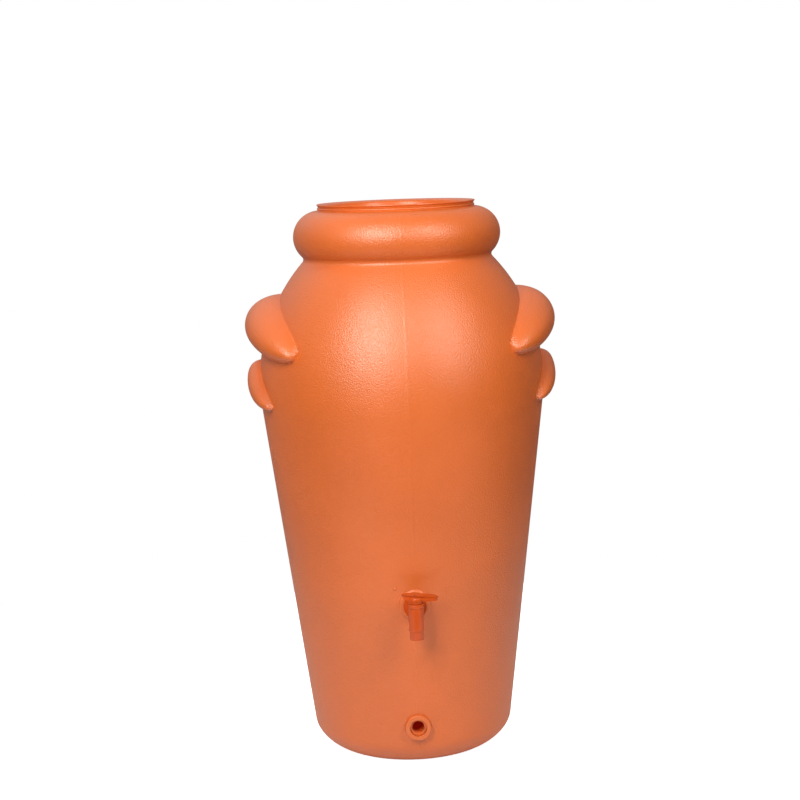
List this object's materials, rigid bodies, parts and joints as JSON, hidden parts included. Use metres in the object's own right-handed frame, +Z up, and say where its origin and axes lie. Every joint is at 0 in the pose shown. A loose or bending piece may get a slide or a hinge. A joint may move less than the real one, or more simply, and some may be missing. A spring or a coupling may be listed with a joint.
{
  "type": "rain barrel",
  "caption": "Urn-shaped moulded rain barrel with side ears, a lever tap, a threaded drain port, a rear hose inlet and a lift-out planter bowl in its mouth.",
  "frame": {"origin": "centre of the flat base, on the floor", "axes": "+Z up along the barrel's axis, -Y is the front with the tap and the drain port, +X and -X carry the ears"},
  "size_m": [0.6184, 0.5844, 1.1],
  "materials": {
    "shell_plastic": "fine leather-like moulded grain, terracotta",
    "planter_plastic": "smooth satin, terracotta",
    "tap_plastic": "smooth, slightly glossy, terracotta",
    "fitting_plastic": "smooth moulded, terracotta",
    "nut_plastic": "black moulded plastic",
    "seal_rubber": "matt black rubber",
    "screen_metal": "perforated stainless sheet",
    "screw_steel": "plain stainless"
  },
  "bodies": {
    "barrel": {"barrel_shell": "shell_plastic", "tap_body": "tap_plastic", "tap_gland_ring": "tap_plastic", "tap_outer_gasket": "seal_rubber", "tap_inner_gasket": "seal_rubber", "tap_slip_washer": "nut_plastic", "tap_lock_nut": "nut_plastic", "drain_bushing": "fitting_plastic", "drain_outer_gasket": "seal_rubber", "drain_slip_washer": "nut_plastic", "drain_lock_nut": "nut_plastic", "inlet_nipple": "nut_plastic", "inlet_outer_gasket": "seal_rubber", "inlet_inner_gasket": "seal_rubber", "inlet_lock_nut": "nut_plastic"},
    "tap_handle": {"tap_plug": "tap_plastic", "tap_lever": "tap_plastic", "tap_lever_screw": "screw_steel", "tap_upper_o_ring": "seal_rubber", "tap_lower_o_ring": "seal_rubber"},
    "planter": {"planter_bowl": "planter_plastic", "planter_screen": "screen_metal"}
  },
  "joints": [
    {"name": "tap_turn", "type": "hinge", "parent": "barrel", "child": "tap_handle", "pos_m": [0, -0.284, 0.339], "axis": [0, 0, -1], "range_deg": [0, 90]},
    {"name": "planter_lift", "type": "slide", "parent": "barrel", "child": "planter", "axis": [0, 0, 1], "range_m": [0, 0.25]}
  ]
}
